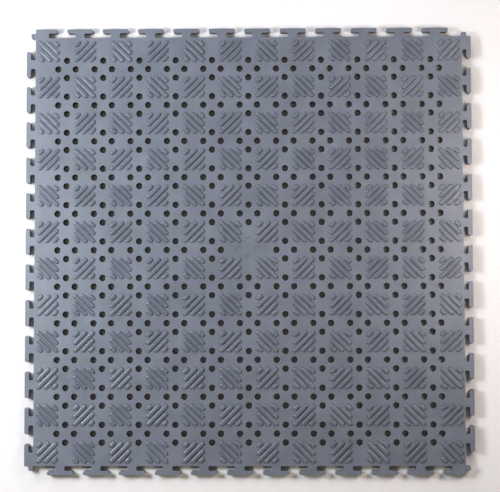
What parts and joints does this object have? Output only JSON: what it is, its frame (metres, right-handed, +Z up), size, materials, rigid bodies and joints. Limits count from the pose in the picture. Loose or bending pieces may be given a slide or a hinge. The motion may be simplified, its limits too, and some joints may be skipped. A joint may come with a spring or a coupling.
{
  "type": "interlocking floor tile",
  "caption": "Square grey PVC floor tile with T tabs that interlock along its edges, drain holes and raised anti-slip bars on its top.",
  "frame": {"origin": "middle of the tile's underside, on the floor it lies on", "axes": "+Z up through the tile's thickness, +Y towards the far side, +X to the right"},
  "size_m": [0.5098, 0.5098, 0.01],
  "materials": {
    "pvc": "satin grey PVC"
  },
  "bodies": {
    "root": {"floor_tile": "pvc"}
  },
  "joints": []
}
